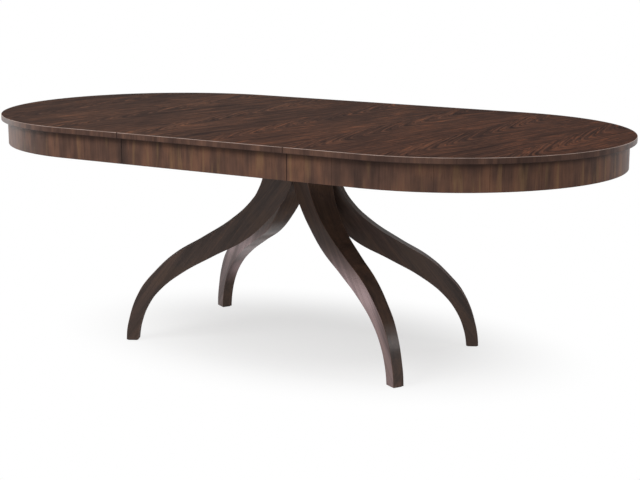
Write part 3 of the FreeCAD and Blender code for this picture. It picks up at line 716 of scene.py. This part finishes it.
def makeLeg(tree, shape, end, side, name, node):
    piece = grow(name, tree, {})
    angle = shape["angle"] if end == right else 180 - shape["angle"]
    bm = bmesh.new()
    bm.from_mesh(piece.data)
    closeRims(bm)
    bmesh.ops.transform(bm, matrix=Matrix.Rotation(math.radians(angle * side), 4, "Z"), verts=bm.verts)
    # mitred to its neighbours at the table's two middle planes
    for normal in (Vector((-end, 0, 0)), Vector((0, -side, 0))):
        bmesh.ops.bisect_plane(bm, geom=[*bm.verts, *bm.edges, *bm.faces], dist=1e-7, plane_co=(0, 0, 0),
                               plane_no=normal, clear_outer=True)
        closeRims(bm)
    bmesh.ops.recalc_face_normals(bm, faces=bm.faces)
    bm.to_mesh(piece.data)
    bm.free()
    settle(shade(piece, shape["creaseAngle"]), "leg_lacquer", node)


legTree = makeLegTree(legShape)
for end, endName in ((left, "Left"), (right, "Right")):
    for side, sideName in ((front, "Front"), (back, "Back")):
        makeLeg(legTree, legShape, end, side, "leg" + sideName + endName,
                "leg_" + sideName.lower() + "_" + endName.lower())
print("legs made")


# Aprons: a veneered band swept round each end, and a straight one on each side of the leaf

bandShape = {
    "seam": 0.30525,             # a hair clear of the joint
    "turn": 0.542,               # where the straight meets the round end
    "radius": 0.546,             # to the middle of the band's thickness
    "thickness": 0.020,
    "height": 0.083,
    "bottom": 0.661,
    "ease": 0.0012,
    "easeSteps": 3,
    "pathPoints": 240,
}
backRim = 7.03                   # the pattern's place along the leaf's back, apart from the front's


def makeBandTree(shape):
    sheet, sizes = newGeometryTree("bentBand", {
        "Seam": shape["seam"], "Turn": shape["turn"], "Radius": shape["radius"],
        "Thickness": shape["thickness"], "Height": shape["height"], "Bottom": shape["bottom"],
        "Ease": shape["ease"], "Way": 1.0, "Path Points": shape["pathPoints"]})
    line = sheet.node("GeometryNodeCurvePrimitiveLine")
    points = sheet.node("GeometryNodeResampleCurve", None, {"Curve": line, "Count": sizes["Path Points"]})
    share = sheet.node("GeometryNodeInputIndex") / (sizes["Path Points"] - 1.0)
    straight = sizes["Turn"] - sizes["Seam"]
    arc = sizes["Radius"] * math.pi
    run = share * (straight * 2.0 + arc)
    angle = sheet.maths("MAXIMUM", (run - straight) / sizes["Radius"], 0.0)
    angle = sheet.maths("MINIMUM", angle, math.pi)
    x = sizes["Seam"] + sheet.maths("MINIMUM", run, straight) + sizes["Radius"] * sheet.maths("SINE", angle)
    x = (x - sheet.maths("MAXIMUM", run - straight - arc, 0.0)) * sizes["Way"]
    y = sizes["Radius"] * sheet.maths("COSINE", angle) * -1.0
    z = sizes["Bottom"] + sizes["Height"] * 0.5
    path = sheet.node("GeometryNodeSetPosition", None,
                      {"Geometry": points, "Position": sheet.vector(x, y, z)})
    path = sheet.node("GeometryNodeStoreNamedAttribute", {"data_type": "FLOAT", "domain": "POINT"},
                      {"Geometry": path, "Name": "rimPlace", "Value": (sizes["Seam"] + run) * sizes["Way"]})
    path = sheet.node("GeometryNodeSetCurveNormal", {"mode": "Z_UP"}, {"Curve": path})
    outline = sheet.node("GeometryNodeCurvePrimitiveQuadrilateral", None,
                         {"Width": sizes["Thickness"], "Height": sizes["Height"]})
    outline = sheet.node("GeometryNodeFilletCurve", {"mode": "POLY"},
                         {"Curve": outline, "Radius": sizes["Ease"], "Count": shape["easeSteps"]})
    band = sheet.node("GeometryNodeCurveToMesh", None,
                      {"Curve": path, "Profile Curve": outline, "Fill Caps": True})
    return closeTree(sheet, band, finishes["apronVeneer"])


def makeBand(tree, name, node, way):
    piece = grow(name, tree, {"Way": float(way)})
    bm = bmesh.new()
    bm.from_mesh(piece.data)
    bmesh.ops.remove_doubles(bm, verts=bm.verts, dist=weldDistance)
    bmesh.ops.recalc_face_normals(bm, faces=bm.faces)
    bm.to_mesh(piece.data)
    bm.free()
    settle(shade(piece), "apron_veneer", node)


bandTree = makeBandTree(bandShape)
makeBand(bandTree, "apronLeft", "apron_left", left)
makeBand(bandTree, "apronRight", "apron_right", right)
for sideName, start in (("Front", 0.0), ("Back", backRim)):
    node = "leaf_apron_" + sideName.lower()
    piece = easedCopy("leafApron" + sideName, node, bandShape["ease"], bandShape["easeSteps"])
    writeRimPlaces(piece.data, [vert.co.x + start for vert in piece.data.vertices])
    piece.data.materials.append(finishes["apronVeneer"])
    settle(shade(piece), "apron_veneer", node)
print("aprons made")


# Tops: veneered above, edged all round, plain below

topShape = {
    "endCentre": 0.542,          # the middle of a round end
    "radius": 0.578,
    "ease": 0.0008,
    "easeSteps": 3,
    "creaseAngle": 35,
    "faceUp": 0.9,               # a face whose normal rises by more than this is board, not edge
}


def rimPlace(point, end):
    # length along the rim, counted from the front's middle
    if not end:
        return point.x if point.y < 0 else point.x + backRim
    centre, radius = topShape["endCentre"], topShape["radius"]
    out = point.x * end
    if out >= centre:
        return end * (centre + radius * (math.atan2(point.y, out - centre) + math.pi / 2))
    return point.x if point.y < 0 else end * (centre + math.pi * radius + centre - out)


def makeTop(name, node, end):
    piece = easedCopy(name, node, topShape["ease"], topShape["easeSteps"])
    mesh = piece.data
    writeRimPlaces(mesh, [rimPlace(vert.co, end) for vert in mesh.vertices])
    for finish in ("topVeneer", "edgeBand", "underVeneer"):
        mesh.materials.append(finishes[finish])
    faceUp = topShape["faceUp"]
    for polygon in mesh.polygons:
        up = polygon.normal.z
        polygon.material_index = 0 if up > faceUp else 2 if up < -faceUp else 1
    settle(shade(piece, topShape["creaseAngle"]), "top_veneer", node)


makeTop("topLeft", "top_left", left)
makeTop("topRight", "top_right", right)
makeTop("topLeaf", "top_leaf", 0)
print("tops made")


# Carcase, slides and locks

easedPieces = {                  # CAD node, finish, material slot, and how far its edges are eased
    "bearerBoard": ("bearer", "frameWood", "frame_wood", 0.0012),
    "legCore": ("leg_core", "frameWood", "frame_wood", 0.0008),
    "fixedRailFront": ("fixed_rail_front", "slideWood", "slide_wood", 0.0006),
    "fixedRailBack": ("fixed_rail_back", "slideWood", "slide_wood", 0.0006),
    "runnerLeftFront": ("runner_left_front", "slideWood", "slide_wood", 0.0006),
    "runnerLeftBack": ("runner_left_back", "slideWood", "slide_wood", 0.0006),
    "runnerRightFront": ("runner_right_front", "slideWood", "slide_wood", 0.0006),
    "runnerRightBack": ("runner_right_back", "slideWood", "slide_wood", 0.0006),
    "battenLeft": ("batten_left", "crossWood", "frame_wood", 0.0015),
    "battenRight": ("batten_right", "crossWood", "frame_wood", 0.0015),
    "glueBlocksLeft": ("apron_blocks_left", "frameWood", "frame_wood", 0.0008),
    "glueBlocksRight": ("apron_blocks_right", "frameWood", "frame_wood", 0.0008),
    "glueBlocksLeaf": ("leaf_blocks", "frameWood", "frame_wood", 0.0008),
    "footGlides": ("foot_glides", "glidePlastic", "glide_plastic", 0.0008),
    "boltWashers": ("leg_washers", "zincSteel", "zinc_steel", 0.0003),
    "pinionFront": ("pinion_front", "pinionPlastic", "pinion_plastic", 0.0003),
    "pinionBack": ("pinion_back", "pinionPlastic", "pinion_plastic", 0.0003),
    "racksLeft": ("racks_left", "plateSteel", "plate_steel", 0.0002),
    "racksRight": ("racks_right", "plateSteel", "plate_steel", 0.0002),
    "lockBasesLeft": ("lock_bases_left", "plateSteel", "plate_steel", 0.0003),
    "lockBasesLeaf": ("lock_bases_leaf", "plateSteel", "plate_steel", 0.0003),
    "keeperPlatesLeaf": ("keeper_plates_leaf", "plateSteel", "plate_steel", 0.0003),
    "keeperPlatesRight": ("keeper_plates_right", "plateSteel", "plate_steel", 0.0003),
    "halfHookFront": ("half_hook_front", "zincSteel", "plate_steel", 0.0003),
    "halfHookBack": ("half_hook_back", "zincSteel", "plate_steel", 0.0003),
    "leafHookFront": ("leaf_hook_front", "zincSteel", "plate_steel", 0.0003),
    "leafHookBack": ("leaf_hook_back", "zincSteel", "plate_steel", 0.0003),
}

for name, (node, finish, slot, ease) in easedPieces.items():
    piece = easedCopy(name, node, ease)
    piece.data.materials.append(finishes[finish])
    settle(shade(piece), slot, node)
print("carcase, slides and locks made:", len(easedPieces))

# these CAD nodes show as they are
nodeFinishes = {
    "leg_bolts": "zincSteel",
    "rail_screws": "zincSteel",
    "stop_pins": "zincSteel",
    "pinion_axles": "zincSteel",
    "runner_screws_left": "zincSteel",
    "runner_screws_right": "zincSteel",
    "seam_pins_left": "pinWood",
    "seam_pins_right": "pinWood",
    "keeper_posts_leaf": "plateSteel",
    "keeper_posts_right": "plateSteel",
}

for node, finish in nodeFinishes.items():
    for slot in frame["nodes"][node].material_slots:
        slot.material = finishes[finish]
print("CAD nodes finished:", len(nodeFinishes))


# Studio

studio = {
    "cameraPlace": (2.555, -4.011, 1.341),
    "cameraYaw": 31.735,
    "cameraPitch": 11.71,
    "focalPixels": 1444.9,
    "frameWidth": 640,
    "sensor": 36.0,
    "sightEnd": 60.0,
    "skyStrength": 0.30,         # what lights the table; a camera or a mirror sees white
    "floorReach": 9.0,
    "floorTone": 0.9,
    "floorMottleTone": 0.8,
    "floorMottleShare": 0.02,
    "floorGlow": 0.62,           # under the table; further out the floor is seen as white
    "shadowLong": 0.95,
    "shadowWide": 0.62,
    "shadowBack": 0.07,
    "shadowSpan": (0.3, 1.1),
    "lamps": {                   # place, what it points at, size, power
        "overhead": ((0.5, -0.6, 2.8), (0.5, -0.6, 0.5), (2.6, 1.8), 17.0),
        "key": ((-1.6, -3.6, 3.9), (0, 0, 0.6), (3.2, 1.8), 120.0),
        "lowFront": ((1.6, -4.6, 0.9), (0, 0, 0.4), (3.0, 1.2), 20.0),
        "lowLeft": ((-3.3, -0.7, 0.75), (0, 0, 0.35), (2.4, 1.5), 22.0),
        "sideRight": ((4.4, 0.4, 1.7), (0.6, 0, 0.4), (0.9, 0.9), 18.0),
        "backRight": ((2.7, 3.3, 1.0), (0.9, 0, 0.6), (1.6, 1.0), 16.0),
    },
}


def aim(item, target):
    way = Vector(target) - item.location
    item.rotation_mode = "QUATERNION"
    item.rotation_quaternion = way.to_track_quat("-Z", "Y")


def addLamp(name, place, target, size, power):
    data = bpy.data.lights.new(name, "AREA")
    data.shape = "RECTANGLE"
    data.size, data.size_y = size
    data.energy = power
    lamp = bpy.data.objects.new(name, data)
    lamp.location = place
    lamp.visible_camera = False
    bpy.context.scene.collection.objects.link(lamp)
    aim(lamp, target)


white = (1.0, 1.0, 1.0, 1.0)


def grey(level):
    return (level, level, level, 1.0)


def makeFloor(settings):
    mesh = bpy.data.meshes.new("floor")
    reach = settings["floorReach"]
    mesh.from_pydata([(-reach, -reach, 0), (reach, -reach, 0), (reach, reach, 0), (-reach, reach, 0)], [],
                     [(0, 1, 2, 3)])
    floor = newPiece("floor", mesh)
    f = Finish("studioFloor")
    x, y = f.split(f.place())[:2]
    # 0 under the table's middle and 1 on an oval round it
    along = x / settings["shadowLong"]
    across = (y - settings["shadowBack"]) / settings["shadowWide"]
    away = f.maths("SQRT", along ** 2.0 + across ** 2.0)
    mottle = f.noise(x * 3.0, y * 3.0, 0.0) * settings["floorMottleShare"]
    colour = f.blend(mottle, grey(settings["floorTone"]), grey(settings["floorMottleTone"]))
    plain = f.node("ShaderNodeBsdfDiffuse", None, {"Color": colour})
    glow = f.node("ShaderNodeEmission", None, {"Color": white, "Strength": 1.0})
    share = settings["floorGlow"] + f.between(away, *settings["shadowSpan"]) * (1.0 - settings["floorGlow"])
    share = share * f.seenBy("Is Camera Ray", "Is Glossy Ray")
    surface = f.node("ShaderNodeMixShader", None, {0: share, 1: plain, 2: glow})
    f.node("ShaderNodeOutputMaterial", None, {"Surface": surface})
    mesh.materials.append(f.material)


def makeSky(settings):
    world = bpy.data.worlds.new("studio")
    world.use_nodes = True
    bpy.context.scene.world = world
    sheet = NodeSheet(world.node_tree)
    sheet.tree.nodes.clear()
    seen = sheet.seenBy("Is Camera Ray", "Is Glossy Ray", "Is Transmission Ray")
    strength = settings["skyStrength"] + seen * (1.0 - settings["skyStrength"])
    sky = sheet.node("ShaderNodeBackground", None, {"Color": white, "Strength": strength})
    sheet.node("ShaderNodeOutputWorld", None, {"Surface": sky})


def makeCamera(settings):
    data = bpy.data.cameras.new("camera")
    data.sensor_width = settings["sensor"]
    data.lens = settings["focalPixels"] * settings["sensor"] / settings["frameWidth"]
    data.clip_end = settings["sightEnd"]
    camera = bpy.data.objects.new("camera", data)
    bpy.context.scene.collection.objects.link(camera)
    camera.location = settings["cameraPlace"]
    yaw = math.radians(settings["cameraYaw"])
    pitch = math.radians(settings["cameraPitch"])
    way = Vector((-math.sin(yaw) * math.cos(pitch), math.cos(yaw) * math.cos(pitch), -math.sin(pitch)))
    aim(camera, camera.location + way)
    bpy.context.scene.camera = camera


bpy.context.scene.view_settings.view_transform = "Standard"
makeFloor(studio)
makeSky(studio)
for name, (place, target, size, power) in studio["lamps"].items():
    addLamp(name, place, target, size, power)
makeCamera(studio)
print("studio made")
